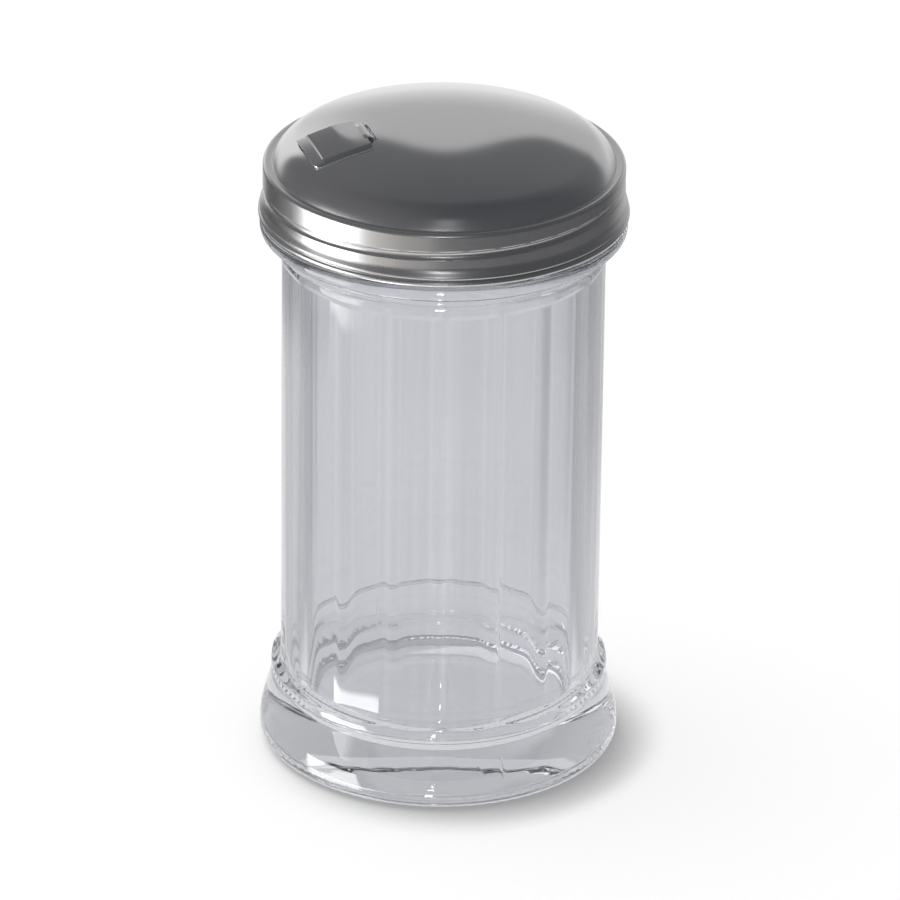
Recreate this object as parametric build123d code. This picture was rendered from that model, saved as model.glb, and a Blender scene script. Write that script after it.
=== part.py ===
"""Sugar dispenser: a panelled pressed-glass jar, a drawn steel screw lid and a hinged pour flap.

The part stands on its foot at the origin with +Z up, and pours towards -X. All sizes are in millimetres.
"""

import os
from math import asin, cos, degrees, pi, radians, sin, sqrt, tan

from build123d import *

# ---------------------------------------------------------------- glass jar
BODY_RADIUS = 33.55  # to the rounded edges between the panels
BODY_LENGTH = 98.2  # from the crease above the foot to the shoulder
BODY_WALL = 3.55  # at the floor; the bore opens towards the mouth
FLOOR_HEIGHT = 8.5
FLOOR_CORNER = 6.5

FOOT_FLARE = 3.75  # how far the foot stands out beyond the body
FOOT_HEIGHT = 14.2  # up to the crease below the ring bead
FOOT_CORNER = 3.8
FOOT_SKIRT = 6.0  # height of the upright part of the foot
FOOT_SHOULDER = 14.0  # rounding where the foot starts to draw in
BEARING_WIDTH = 1.5  # the ring that touches the table
BEARING_CORNER = 0.8
PUSH_UP_EDGE = 1.2
PUSH_UP_CORNER = 1.0
PUSH_UP = 2.6  # hollow under the centre of the base

CREASE_PROUD = 0.95  # the line between foot and ring bead
CREASE_CORNER = 0.25
RING_PROUD = 1.4  # the low bead that the panels stand on
RING_RISE = 1.1
RING_CORNER = 0.9
RING_BAND = 1.9
RING_DRAFT = 0.2  # how far the bead leans in over its height
RING_SHOULDER = 3.0
RING_TAPER = 4.6
RING_BLEND = 8.0

PANELS = 18
PANEL_DEPTH = 0.35  # how far a panel's middle lies inside the rounded edges
PANEL_RISE = 4.5  # from the crease up to where a panel's flat would end without its run-out
PANEL_HEADROOM = 1.9  # from a panel's top up to the shoulder
PANEL_RUNOUT = 3.7  # radius where a panel sweeps out onto the ring bead
PANEL_HEAD = 1.0  # radius at the top of a panel
RUNOUT_SLOPE = 38.4  # how steeply the run-out falls away, in degrees
FIRST_PANEL = 4.0  # bearing of the first panel's middle, in degrees

SHOULDER_CORNER = 1.3
NECK_STEP = 0.95  # how far the neck groove lies inside the body
NECK_DROP = 0.6
NECK_LENGTH = 2.2
NECK_LOW_CORNER = 0.5
NECK_HIGH_CORNER = 0.6
COLLAR_INSET = 0.3  # transfer ring below the lid, inside the lid's widest point
COLLAR_RISE = 0.6
COLLAR_THICKNESS = 2.6
COLLAR_CORNER = 1.2
FINISH_STEP = 1.75  # how far the neck under the lid stands out beyond the body
FINISH_WALL = 4.3
FINISH_ROOT = 0.3
LIP_OUTER_CORNER = 0.6
LIP_INNER_CORNER = 1.3

# ---------------------------------------------------------------- screw lid
SHEET = 0.5
SEAT_CLEARANCE = 0.12  # between the glass lip and the crease that presses on it
COLLAR_GAP = 0.8  # between the lid's curl and the transfer ring
SKIRT_CLEARANCE = 1.25  # between the glass and the skirt, where the threads are
CROWN_RADIUS = 90.0
KNUCKLE_RADIUS = 8.7
CREASE_SLOPE = 65.0  # how steep the dome is where it meets the shoulder, in degrees
SHOULDER_WIDTH = 1.9
SHOULDER_RISE = 0.3
BAND_CORNER = 0.8
BAND_FLARE_CORNER = 2.0
FLARE_PROUD = 0.85
FLARE_DROP = 1.6
FLARE_CORNER = 0.7
TUCK_PROUD = 0.2  # the groove between flare and curl
TUCK_DROP = 0.6
TUCK_CORNER = 0.3
CURL_PROUD = 0.3
CURL_DROP = 0.45
CURL_WIRE = 0.65  # radius of the curled edge

ROLL_PITCH = 5.0
ROLL_TURN = 330.0  # degrees of full-depth thread
ROLL_BEARING = 122.5  # where the full-depth thread starts, in degrees
ROLL_TOOL = 1.0  # radius of the rolling tool's rim
ROLL_DEPTH = 0.55
ROLL_LOW_MARGIN = 1.4
ROLL_HIGH_MARGIN = 1.8

# ---------------------------------------------------------------- pour flap and its hinge
BRIDGE_WIDTH = 1.15  # bar of sheet between slot and pour hole that the flap curls round
BRIDGE_CORNER = 0.15
BRIDGE_BEDDING = 0.5  # how far the bar runs into the dome at each end
KNUCKLE_CLEARANCE = 0.08
KNUCKLE_WRAP = 245.0  # how far round the bar the tongue is curled, in degrees
SLOT_WIDTH = 1.2
SLOT_LENGTH = 8.0
TONGUE_SIDE_CLEARANCE = 0.4
HOLE_CORNER = 1.5
HOLE_END_COVER = 2.1  # how far the flap reaches past the pour hole
HOLE_SIDE_COVER = 1.5

FLAP_SHEET = 0.5
FLAP_INSET = 5.75  # from the flap's free end out to the dome's crease
FLAP_LENGTH = 12.2  # from the hinge to the free end
FLAP_WIDTH = 14.2
FLAP_HEEL = 0.35  # the plate's corners start this far in front of the hinge
FLAP_REST = 0.3  # gap between the flap's edge and the dome
FLAP_TIP_CORNER = 1.2
FLAP_HEEL_CORNER = 1.6
FLANK_SLOPE = 38.0  # how steeply the sides fold down, in degrees
FIELD_RAISE = 0.55  # the embossed field above the plate
FIELD_START = 0.4
FIELD_SLOPE = 2.7
FIELD_STEP = 0.5
LIP_LENGTH = 1.9

# ---------------------------------------------------------------- worked out from the sizes above
BEYOND = 5.0  # how far a cutter reaches past what it cuts
PANEL_OVERLAP = 1.2  # how far each panel's cutter reaches past the panel's edges

FOOT_RADIUS = BODY_RADIUS + FOOT_FLARE
BEARING_RADIUS = FOOT_RADIUS - FOOT_CORNER - BEARING_WIDTH
NECK_RADIUS = BODY_RADIUS - NECK_STEP
FINISH_RADIUS = BODY_RADIUS + FINISH_STEP
MOUTH_RADIUS = FINISH_RADIUS - FINISH_WALL
BAND_RADIUS = FINISH_RADIUS + SKIRT_CLEARANCE + SHEET
CURL_RADIUS = BAND_RADIUS + CURL_PROUD
COLLAR_RADIUS = CURL_RADIUS + CURL_WIRE - COLLAR_INSET
DOME_RADIUS = BAND_RADIUS - SHOULDER_WIDTH
APOTHEM = BODY_RADIUS - PANEL_DEPTH

SHOULDER_HEIGHT = FOOT_HEIGHT + BODY_LENGTH
NECK_HEIGHT = SHOULDER_HEIGHT + NECK_DROP
COLLAR_HEIGHT = NECK_HEIGHT + NECK_LENGTH + COLLAR_RISE
CURL_HEIGHT = COLLAR_HEIGHT + COLLAR_THICKNESS + COLLAR_GAP + CURL_WIRE
TUCK_HEIGHT = CURL_HEIGHT + CURL_DROP
FLARE_HEIGHT = TUCK_HEIGHT + TUCK_DROP
BAND_HEIGHT = FLARE_HEIGHT + FLARE_DROP
ROLL_HEIGHT = BAND_HEIGHT + ROLL_LOW_MARGIN
DOME_HEIGHT = ROLL_HEIGHT + ROLL_PITCH * ROLL_TURN / 360 + ROLL_HIGH_MARGIN
LIP_HEIGHT = DOME_HEIGHT - SHEET - SEAT_CLEARANCE

TIP_REACH = DOME_RADIUS - FLAP_INSET  # level distances from the lid's centre line
HINGE_REACH = TIP_REACH - FLAP_LENGTH
HOLE_LENGTH = FLAP_LENGTH - HOLE_END_COVER - BRIDGE_WIDTH / 2
HOLE_WIDTH = FLAP_WIDTH - 2 * HOLE_SIDE_COVER


def turned(outline):
    """Turn a closed outline of (radius, height, corner radius) about the centre line."""
    points = [(radius, 0, height) for radius, height, _ in outline]
    corners = [corner for *_, corner in outline]
    return revolve(make_face(FilletPolyline(*points, radius=corners, close=True)), Axis.Z)


def knuckle_centre():
    """Centre of the small arc that joins the crown to the crease, as (radius, height)."""
    slope = radians(CREASE_SLOPE)
    return DOME_RADIUS - KNUCKLE_RADIUS * sin(slope), DOME_HEIGHT - KNUCKLE_RADIUS * cos(slope)


def crown_centre_height():
    """Height of the dome's centre, which puts the crown and the small arc in line."""
    radius, height = knuckle_centre()
    return height - sqrt((CROWN_RADIUS - KNUCKLE_RADIUS) ** 2 - radius**2)


def crown_angle(reach):
    """Angle from the vertical, seen from the dome's centre, at a level distance from the centre line."""
    return degrees(asin(reach / CROWN_RADIUS))


def on_dome(angle):
    """Plane centred on the dome's centre: its z runs out through the dome, its x points at the spout side."""
    lean = radians(angle)
    return Plane(
        origin=(0, 0, crown_centre_height()),
        x_dir=(-cos(lean), 0, -sin(lean)),
        z_dir=(-sin(lean), 0, cos(lean)),
    )


# ---------------------------------------------------------------- glass jar
def jar_blank():
    """The jar before its panels, as one turned solid with its bore and push-up."""
    ring_radius = BODY_RADIUS + RING_PROUD
    ring_height = FOOT_HEIGHT + RING_RISE
    ring_top = ring_height + RING_BAND
    return turned(
        [
            (0, PUSH_UP, 0),
            (BEARING_RADIUS - PUSH_UP_EDGE, PUSH_UP_EDGE, PUSH_UP_CORNER),
            (BEARING_RADIUS, 0, BEARING_CORNER),
            (FOOT_RADIUS, 0, FOOT_CORNER),
            (FOOT_RADIUS, FOOT_SKIRT, FOOT_SHOULDER),
            (BODY_RADIUS + CREASE_PROUD, FOOT_HEIGHT, CREASE_CORNER),
            (ring_radius, ring_height, RING_CORNER),
            (ring_radius - RING_DRAFT, ring_top, RING_SHOULDER),
            (BODY_RADIUS, ring_top + RING_TAPER, RING_BLEND),
            (BODY_RADIUS, SHOULDER_HEIGHT, SHOULDER_CORNER),
            (NECK_RADIUS, NECK_HEIGHT, NECK_LOW_CORNER),
            (NECK_RADIUS, NECK_HEIGHT + NECK_LENGTH, NECK_HIGH_CORNER),
            (COLLAR_RADIUS, COLLAR_HEIGHT, COLLAR_CORNER),
            (COLLAR_RADIUS, COLLAR_HEIGHT + COLLAR_THICKNESS, COLLAR_CORNER),
            (FINISH_RADIUS, COLLAR_HEIGHT + COLLAR_THICKNESS, FINISH_ROOT),
            (FINISH_RADIUS, LIP_HEIGHT, LIP_OUTER_CORNER),
            (MOUTH_RADIUS, LIP_HEIGHT, LIP_INNER_CORNER),
            (BODY_RADIUS - BODY_WALL, FLOOR_HEIGHT, FLOOR_CORNER),
            (0, FLOOR_HEIGHT, 0),
        ]
    )


def panel_cutter():
    """Everything outside one flat panel: upright, with a swept run-out onto the ring bead below."""
    outside = FOOT_RADIUS + BEYOND
    low = FOOT_HEIGHT + PANEL_RISE
    high = SHOULDER_HEIGHT - PANEL_HEADROOM
    fall = (outside - APOTHEM) * tan(radians(RUNOUT_SLOPE))
    outline = FilletPolyline(
        (APOTHEM, 0, low),
        (outside, 0, low - fall),
        (outside, 0, high),
        (APOTHEM, 0, high),
        radius=[PANEL_RUNOUT, 0, 0, PANEL_HEAD],
        close=True,
    )
    half_width = BODY_RADIUS * tan(pi / PANELS)
    return extrude(make_face(outline), half_width + PANEL_OVERLAP, both=True)


def glass_jar():
    cutter = panel_cutter()
    return jar_blank() - [spot * cutter for spot in PolarLocations(0, PANELS, FIRST_PANEL)]


# ---------------------------------------------------------------- screw lid
def lid_profile():
    """Outer face of the lid's section, from the centre line out, down and round to the curl."""
    radius, height = knuckle_centre()
    slope = radians(CREASE_SLOPE)
    crown_end = asin(radius / (CROWN_RADIUS - KNUCKLE_RADIUS))

    def on_arc(centre, size, angle):
        return centre[0] + size * sin(angle), 0, centre[1] + size * cos(angle)

    crown = (0, crown_centre_height())
    knuckle = (radius, height)
    crown_arc = ThreePointArc(
        on_arc(crown, CROWN_RADIUS, 0),
        on_arc(crown, CROWN_RADIUS, crown_end / 2),
        on_arc(crown, CROWN_RADIUS, crown_end),
    )
    knuckle_arc = ThreePointArc(
        on_arc(knuckle, KNUCKLE_RADIUS, crown_end),
        on_arc(knuckle, KNUCKLE_RADIUS, (crown_end + slope) / 2),
        on_arc(knuckle, KNUCKLE_RADIUS, slope),
    )
    skirt = FilletPolyline(
        (DOME_RADIUS, 0, DOME_HEIGHT),
        (BAND_RADIUS, 0, DOME_HEIGHT + SHOULDER_RISE),
        (BAND_RADIUS, 0, BAND_HEIGHT),
        (BAND_RADIUS + FLARE_PROUD, 0, FLARE_HEIGHT),
        (BAND_RADIUS + TUCK_PROUD, 0, TUCK_HEIGHT),
        (BAND_RADIUS + TUCK_PROUD, 0, CURL_HEIGHT),
        radius=[BAND_CORNER, BAND_FLARE_CORNER, FLARE_CORNER, TUCK_CORNER],
    )
    return Wire(crown_arc.edges() + knuckle_arc.edges() + skirt.edges())


def drawn_sheet():
    """The lid's sheet as two turned solids: its outer form, and the hollow inside it."""
    outer = lid_profile()
    inner = outer.offset_2d(SHEET, kind=Kind.INTERSECTION, side=Side.RIGHT, closed=False)
    return [revolve(make_face(closed_to_axis(line)), Axis.Z) for line in (outer, inner)]


def closed_to_axis(line):
    """The edges of a section line, closed along its foot and the centre line."""
    ends = sorted((line @ 0, line @ 1), key=lambda point: point.Z)
    foot, top = ends
    return line.edges() + Polyline(foot, (0, 0, foot.Z), top).edges()


def roll(radius):
    """One turn of rolled thread as a tube of this radius, run out along the tangent at both ends."""
    reach = BAND_RADIUS + ROLL_TOOL - ROLL_DEPTH
    path = Helix(ROLL_PITCH, ROLL_PITCH * ROLL_TURN / 360, reach)
    fade = sqrt((reach + radius) ** 2 - reach**2)
    start = Plane(path @ 0, z_dir=path % 0) * Circle(radius)
    end = Plane(path @ 1, z_dir=path % 1) * Circle(radius)
    tube = sweep(start, path=path, is_frenet=True)
    tube += extrude(start, -fade)
    tube += extrude(end, fade)
    return Pos(0, 0, ROLL_HEIGHT) * Rot(0, 0, ROLL_BEARING) * tube


def screw_lid():
    outer, hollow = drawn_sheet()
    curl = Pos(0, 0, CURL_HEIGHT) * Torus(CURL_RADIUS, CURL_WIRE)
    lid = (outer - roll(ROLL_TOOL)) - (hollow - roll(ROLL_TOOL + SHEET)) + curl
    hinge = on_dome(crown_angle(HINGE_REACH))
    lid -= hinge * pour_hole()
    lid -= hinge * hinge_window()
    return lid + hinge * bridge()


def pour_hole():
    """Punch for the hole that the sugar leaves by, from the bridge outwards, in the hinge's plane."""
    blank = RectangleRounded(HOLE_LENGTH, HOLE_WIDTH, HOLE_CORNER)
    punch = extrude(blank, BEYOND, both=True)
    return Pos(BRIDGE_WIDTH / 2 + HOLE_LENGTH / 2, 0, CROWN_RADIUS) * punch


def hinge_window():
    """Punch for the slot that the flap's tongue goes down through, and for the curved strip beside it."""
    length = SLOT_WIDTH + BRIDGE_WIDTH + SHEET
    punch = Box(length, SLOT_LENGTH, BEYOND)
    return Pos(length / 2 - BRIDGE_WIDTH / 2 - SLOT_WIDTH, 0, CROWN_RADIUS) * punch


def axis_height():
    """Distance of the hinge axis from the dome's centre: the middle of the bar at its ends."""
    half_span = SLOT_LENGTH / 2
    return sqrt((CROWN_RADIUS - SHEET / 2) ** 2 - half_span**2)


def bridge():
    """The bar between slot and hole, set straight so that the knuckle can turn on it."""
    section = Plane.XZ * RectangleRounded(BRIDGE_WIDTH, SHEET, BRIDGE_CORNER)
    bar = extrude(section, SLOT_LENGTH / 2 + BRIDGE_BEDDING, both=True)
    return Pos(0, 0, axis_height()) * bar


# ---------------------------------------------------------------- pour flap
def knuckle_bore():
    """Inner radius of the curl: it just clears the corners of the bar."""
    half_diagonal = sqrt((BRIDGE_WIDTH / 2) ** 2 + (SHEET / 2) ** 2)
    return half_diagonal + KNUCKLE_CLEARANCE


def plate_radius():
    """Distance of the plate's underside from the dome's centre."""
    return axis_height() + knuckle_bore()


def flap_middle():
    """Angle of the flap's middle from the vertical."""
    return (crown_angle(HINGE_REACH) + crown_angle(TIP_REACH)) / 2


def flap_point(reach, radius):
    """A point of the flap's long section, in the plane of its middle."""
    lean = radians(crown_angle(reach) - flap_middle())
    return Vector(radius * sin(lean), 0, radius * cos(lean))


def over_dome(start, end, radius):
    """An arc of the flap's long section that keeps its height over the dome."""
    reaches = (start, (start + end) / 2, end)
    return ThreePointArc(*[flap_point(reach, radius) for reach in reaches]).edge()


def flap_section():
    """Upper face of the flap's long section, a little past both ends: heel, slope, field, step and lip."""
    plate = plate_radius() + FLAP_SHEET
    field = plate + FIELD_RAISE
    slope_start = HINGE_REACH + FIELD_START
    slope_end = slope_start + FIELD_SLOPE
    step_end = TIP_REACH - LIP_LENGTH
    step_start = step_end - FIELD_STEP
    return Wire(
        [
            over_dome(HINGE_REACH - SLOT_WIDTH, slope_start, plate),
            Edge.make_line(flap_point(slope_start, plate), flap_point(slope_end, field)),
            over_dome(slope_end, step_start, field),
            Edge.make_line(flap_point(step_start, field), flap_point(step_end, plate)),
            over_dome(step_end, TIP_REACH + SLOT_WIDTH, plate),
        ]
    )


def domed(upper, lower_radius):
    """The space between the dome's centre side and a long section, curved across like the dome."""
    start = upper @ 0
    end = upper @ 1
    low_start = start.normalized() * lower_radius
    low_end = end.normalized() * lower_radius
    floor = ThreePointArc(low_end, Vector(0, 0, lower_radius), low_start)
    sides = [Edge.make_line(end, low_end), Edge.make_line(low_start, start)]
    face = make_face(upper.edges() + floor.edges() + sides)
    spread = degrees(asin(FLAP_WIDTH / CROWN_RADIUS))
    return revolve(Rot(-spread / 2, 0, 0) * face, Axis.X, spread)


def roof(drop):
    """Long prism whose sloping sides are the flap's flanks, lowered by this much."""
    rest = CROWN_RADIUS + FLAP_REST
    half_width = FLAP_WIDTH / 2
    eaves = sqrt(rest**2 - half_width**2) - drop
    fall = tan(radians(FLANK_SLOPE))
    floor = eaves - half_width * fall
    section = Polyline(
        (0, 2 * half_width, floor),
        (0, 0, eaves + half_width * fall),
        (0, -2 * half_width, floor),
        close=True,
    )
    return extrude(make_face(section), FLAP_LENGTH, both=True)


def flap_outline():
    """Plan of the flap: a rounded plate, with the tongue's root running back to the hinge."""
    tip = flap_point(TIP_REACH, plate_radius()).X
    hinge = flap_point(HINGE_REACH, plate_radius()).X
    heel = hinge + FLAP_HEEL
    half_width = FLAP_WIDTH / 2
    root = tongue_half_width()
    outline = FilletPolyline(
        (hinge, root),
        (heel, root),
        (heel, half_width),
        (tip, half_width),
        (tip, -half_width),
        (heel, -half_width),
        (heel, -root),
        (hinge, -root),
        radius=[0, 0, FLAP_HEEL_CORNER, FLAP_TIP_CORNER, FLAP_TIP_CORNER, FLAP_HEEL_CORNER, 0, 0],
        close=True,
    )
    return Pos(0, 0, CROWN_RADIUS) * extrude(make_face(outline), FLAP_WIDTH / 2, both=True)


def tongue_half_width():
    return SLOT_LENGTH / 2 - TONGUE_SIDE_CLEARANCE


def flap_knuckle():
    """The tongue's curl, from the plate back over the bar, down and round under it, in the hinge's plane."""
    bore = knuckle_bore()
    rim = bore + FLAP_SHEET
    finish = radians(90 + KNUCKLE_WRAP)
    outline = [
        CenterArc((0, 0), rim, 90, KNUCKLE_WRAP),
        Line((rim * cos(finish), rim * sin(finish)), (bore * cos(finish), bore * sin(finish))),
        CenterArc((0, 0), bore, 90, KNUCKLE_WRAP),
        Polyline((0, bore), (FLAP_HEEL, bore), (FLAP_HEEL, rim), (0, rim)),
    ]
    section = Plane.XZ * make_face([edge for line in outline for edge in line.edges()])
    return Pos(0, 0, axis_height()) * extrude(section, tongue_half_width(), both=True)


def pour_flap():
    upper = flap_section()
    lower = upper.offset_2d(FLAP_SHEET, kind=Kind.INTERSECTION, side=Side.LEFT, closed=False)
    form = domed(upper, CROWN_RADIUS + FLAP_REST) & roof(0) & flap_outline()
    hollow = domed(lower, CROWN_RADIUS - FLAP_REST) & roof(FLAP_SHEET / cos(radians(FLANK_SLOPE)))
    plate = on_dome(flap_middle()) * (form - hollow)
    return plate + on_dome(crown_angle(HINGE_REACH)) * flap_knuckle()


def build():
    os.makedirs("parts", exist_ok=True)
    export_step(glass_jar(), "parts/glass_jar.step")
    export_step(screw_lid(), "parts/screw_lid.step")
    export_step(pour_flap(), "parts/pour_flap.step")


build()
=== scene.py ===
"""Sugar dispenser: a panelled pressed-glass jar, a drawn steel screw lid and a hinged pour flap."""

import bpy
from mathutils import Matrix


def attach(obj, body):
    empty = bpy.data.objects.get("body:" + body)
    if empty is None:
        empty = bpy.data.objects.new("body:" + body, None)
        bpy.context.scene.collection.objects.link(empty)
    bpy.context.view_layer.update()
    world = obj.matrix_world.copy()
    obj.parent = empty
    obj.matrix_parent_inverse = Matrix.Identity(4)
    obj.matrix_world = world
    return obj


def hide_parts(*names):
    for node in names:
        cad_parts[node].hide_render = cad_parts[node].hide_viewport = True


bl_info = {
    "name": "Sugar Dispenser",
    "version": (1, 0, 0),
    "blender": (4, 5, 0),
    "location": "View3D > Sidebar > Dispenser",
    "description": "Builds a panelled glass sugar dispenser with a steel screw lid and a hinged pour flap",
    "category": "Add Mesh",
}

from math import asin, ceil, cos, degrees, pi, radians, sin, sqrt, tan
from types import SimpleNamespace

import bmesh
import bpy
from mathutils import Matrix, Vector

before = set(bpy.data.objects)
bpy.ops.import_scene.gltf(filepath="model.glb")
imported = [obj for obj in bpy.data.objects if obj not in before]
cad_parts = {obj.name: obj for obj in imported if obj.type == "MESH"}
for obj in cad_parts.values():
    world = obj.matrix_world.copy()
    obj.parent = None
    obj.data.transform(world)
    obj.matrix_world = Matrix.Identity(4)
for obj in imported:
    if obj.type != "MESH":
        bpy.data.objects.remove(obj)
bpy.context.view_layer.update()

MM = 0.001


# ------------------------------------------------------------------ sizes and colours
def number(default, description, **settings):
    """Any other number; a setting's name comes from its key."""
    return bpy.props.FloatProperty(description=description, default=default, **settings)


def length(millimetres, description):
    """A size that a maker would change, given in millimetres and kept in metres."""
    return number(millimetres * MM, description, min=0.0, unit="LENGTH", precision=5)


def angle(default, description):
    """An angle that a maker would change, given in degrees."""
    return number(radians(default), description, unit="ROTATION", precision=3)


def share(default, description):
    return number(default, description, min=0.0, max=1.0, subtype="FACTOR", precision=3)


def count(default, description):
    return bpy.props.IntProperty(description=description, default=default, min=3)


def colour(default, description):
    return bpy.props.FloatVectorProperty(
        description=description, default=default, size=3, min=0.0, max=1.0, subtype="COLOR"
    )


def named(group):
    """Name each setting of a group after its key: foot_radius becomes Foot radius."""
    for key, setting in group.__annotations__.items():
        setting.keywords["name"] = key.replace("_", " ").capitalize()
    return group


@named
class GlassJarSettings(bpy.types.PropertyGroup):
    """Sizes and glass of the jar."""

    foot_radius: length(37.5, "Widest part of the foot")
    foot_corner: length(2.9, "Rounding under the foot")
    foot_skirt: length(5.2, "Height of the upright part of the foot")
    foot_shoulder: length(14.0, "Rounding where the foot draws in")
    bearing_radius: length(32.0, "Inner edge of the ring that touches the table")
    push_up: length(2.6, "Hollow under the middle of the base")
    crease_radius: length(34.85, "Line between the foot and the band")
    crease_height: length(15.0, "Height of the line between the foot and the band")
    ring_radius: length(35.15, "Outside of the low band that the panels stand on")
    ring_height: length(15.6, "Start of the low band")
    ring_top: length(18.2, "Ledge at the top of the low band")
    body_radius: length(33.55, "From the centre line to the edges between the panels")
    body_start: length(18.7, "Where the straight body begins")
    body_top: length(112.4, "Shoulder of the jar")
    panels: count(18, "Flat panels round the body")
    first_panel: angle(4.0, "Bearing of the first panel's middle")
    panel_distance: length(33.2, "From the centre line to the flat of a panel")
    panel_start: length(18.7, "Where a panel's flat ends above the ledge")
    panel_top: length(110.3, "Where a panel's flat ends below the shoulder")
    run_out_slope: share(0.793, "How steeply a panel runs out at the ledge")
    run_out_blend: length(1.0, "Rounding where a panel runs out")
    edge_blend: length(0.5, "Rounding of the edges between the panels")
    inner_depth: length(0.12, "How far the bore follows the panels")
    inner_blend: length(0.2, "Rounding where the bore follows the panels")
    neck_radius: length(32.6, "Groove below the transfer ring")
    collar_radius: length(37.7, "Transfer ring below the lid")
    collar_low: length(115.8, "Underside of the transfer ring")
    collar_high: length(118.4, "Top of the transfer ring")
    finish_radius: length(35.3, "Neck that the lid screws on to")
    lip_height: length(129.66, "Top of the glass")
    mouth_radius: length(31.0, "Opening of the jar")
    bore_radius: length(30.0, "Inside of the jar at its floor")
    floor_height: length(8.5, "Inside floor of the jar")
    floor_corner: length(6.5, "Rounding inside at the floor")
    thread_height: length(0.95, "How far the glass thread stands out")
    thread_pitch: length(5.0, "Rise of the thread in one turn")
    thread_start: length(123.2, "Height at which the glass thread starts")
    thread_bearing: angle(292.5, "Bearing at which the glass thread starts")
    thread_width: length(0.75, "Half width of the glass thread")
    ticks: count(90, "Marks pressed into the ring that touches the table")
    tick_depth: length(0.14, "Depth of the grip marks")
    seam_bearing: angle(274.0, "Bearing of the mould's parting line")
    seam_height: length(0.05, "How far the parting line stands out")
    seam_width: length(0.12, "Half width of the parting line")
    tint: colour((0.722, 0.729, 0.752), "Tint of the glass's skin")
    body: colour((0.35, 0.37, 0.42), "Tint of thick glass")
    density: number(6.0, "How fast thick glass darkens, for each metre", min=0.0)


@named
class ScrewLidSettings(bpy.types.PropertyGroup):
    """Sizes and steel of the lid."""

    sheet: length(0.5, "Thickness of the drawn steel")
    crown_radius: length(90.0, "Radius of the dome")
    knuckle_radius: length(8.7, "Radius where the dome turns down to the crease")
    crease_slope: angle(65.0, "Steepness of the dome at the crease")
    dome_radius: length(35.15, "Edge of the dome")
    dome_height: length(130.2833, "Height of the crease round the dome")
    shoulder_rise: length(0.3, "Rise of the rim outside the crease")
    band_radius: length(37.05, "Outside of the upright band")
    band_low: length(122.5, "Where the band starts to flare")
    flare_radius: length(37.9, "Widest part above the curl")
    flare_height: length(120.9, "Height of the widest part above the curl")
    curl_radius: length(37.35, "Middle of the curled edge")
    curl_height: length(119.85, "Height of the curled edge")
    curl_wire: length(0.65, "Half thickness of the curled edge")
    roll_pitch: length(5.0, "Rise of the rolled thread in one turn")
    roll_turn: angle(330.0, "Part of a turn that is rolled to full depth")
    roll_bearing: angle(122.5, "Bearing at which the full depth starts")
    roll_height: length(123.9, "Height at which the full depth starts")
    roll_tool: length(1.0, "Radius of the rolling tool's rim")
    roll_depth: length(0.55, "Depth of the rolled thread")
    roll_blend: length(0.2, "Rounding at the edges of the rolled thread")
    hole_length: length(9.525, "Pour hole, from the hinge bar outwards")
    hole_width: length(11.2, "Across the pour hole")
    hole_corner: length(1.5, "Corner radius of the pour hole")
    slot_width: length(1.2, "Slot that the flap's tongue goes down through")
    slot_length: length(8.0, "Length of the slot")
    bar_width: length(1.15, "Bar of sheet that the flap curls round")
    steel: colour((0.70, 0.70, 0.705), "Colour of the polished steel")


@named
class PourFlapSettings(bpy.types.PropertyGroup):
    """Sizes of the flap."""

    hinge_reach: length(17.2, "Level distance of the hinge from the centre line")
    tip_reach: length(29.4, "Level distance of the free end from the centre line")
    width: length(14.2, "Across the flap")
    sheet: length(0.5, "Thickness of the flap")
    heel: length(0.2, "The plate starts this far in front of the hinge")
    rest: length(0.3, "Gap between the flap's edge and the dome")
    plate_gap: length(0.368, "Gap between the plate's underside and the dome")
    raise_height: length(0.55, "How far the field is embossed")
    field_start: length(0.4, "From the hinge to the start of the slope")
    field_slope: length(5.2, "Length of the slope up to the field")
    field_step: length(0.5, "Length of the step down to the lip")
    field_lean: angle(5.0, "How far the field leans to the front")
    lip: length(1.9, "Lip at the free end")
    trimmed_corner: length(3.2, "Corner radius at the hinge, on the far side")
    flank_slope: angle(38.0, "How steeply the sides fold down")
    tip_corner: length(1.2, "Corner radius at the free end")
    heel_corner: length(0.3, "Corner radius at the hinge")
    tongue: length(7.2, "Width of the tongue that curls round the bar")
    bore: length(0.707, "Inner radius of the curl")
    wrap: angle(245.0, "How far round the bar the tongue is curled")


@named
class StageSettings(bpy.types.PropertyGroup):
    """Studio round the dispenser."""

    level: share(0.8, "Strength of the even light from all round")
    key: number(7.0, "Power of the large lamp high at the back left", unit="POWER")
    window: number(5.0, "Power of the tall window that the glass mirrors", unit="POWER")
    paper: colour((1.0, 1.0, 1.0), "Colour of the table and the background")
    cards: colour((0.5, 0.5, 0.51), "What the glass shows of the studio's sides")
    bearing: angle(-17.5, "How far the studio is turned against the dispenser")


# ------------------------------------------------------------------ nodes
def arithmetic(operation, turned=False):
    """A method of Value that adds a Math node. turned puts the other number first."""

    def method(self, *other):
        return maths(operation, *other, self) if turned else maths(operation, self, *other)

    return method


class Value:
    """One number in a node tree. Arithmetic on it adds Math nodes."""

    def __init__(self, nodes, socket):
        self.nodes = nodes
        self.socket = socket

    __add__, __radd__ = arithmetic("ADD"), arithmetic("ADD", True)
    __sub__, __rsub__ = arithmetic("SUBTRACT"), arithmetic("SUBTRACT", True)
    __mul__, __rmul__ = arithmetic("MULTIPLY"), arithmetic("MULTIPLY", True)
    __truediv__, __rtruediv__ = arithmetic("DIVIDE"), arithmetic("DIVIDE", True)
    __abs__ = arithmetic("ABSOLUTE")


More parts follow.
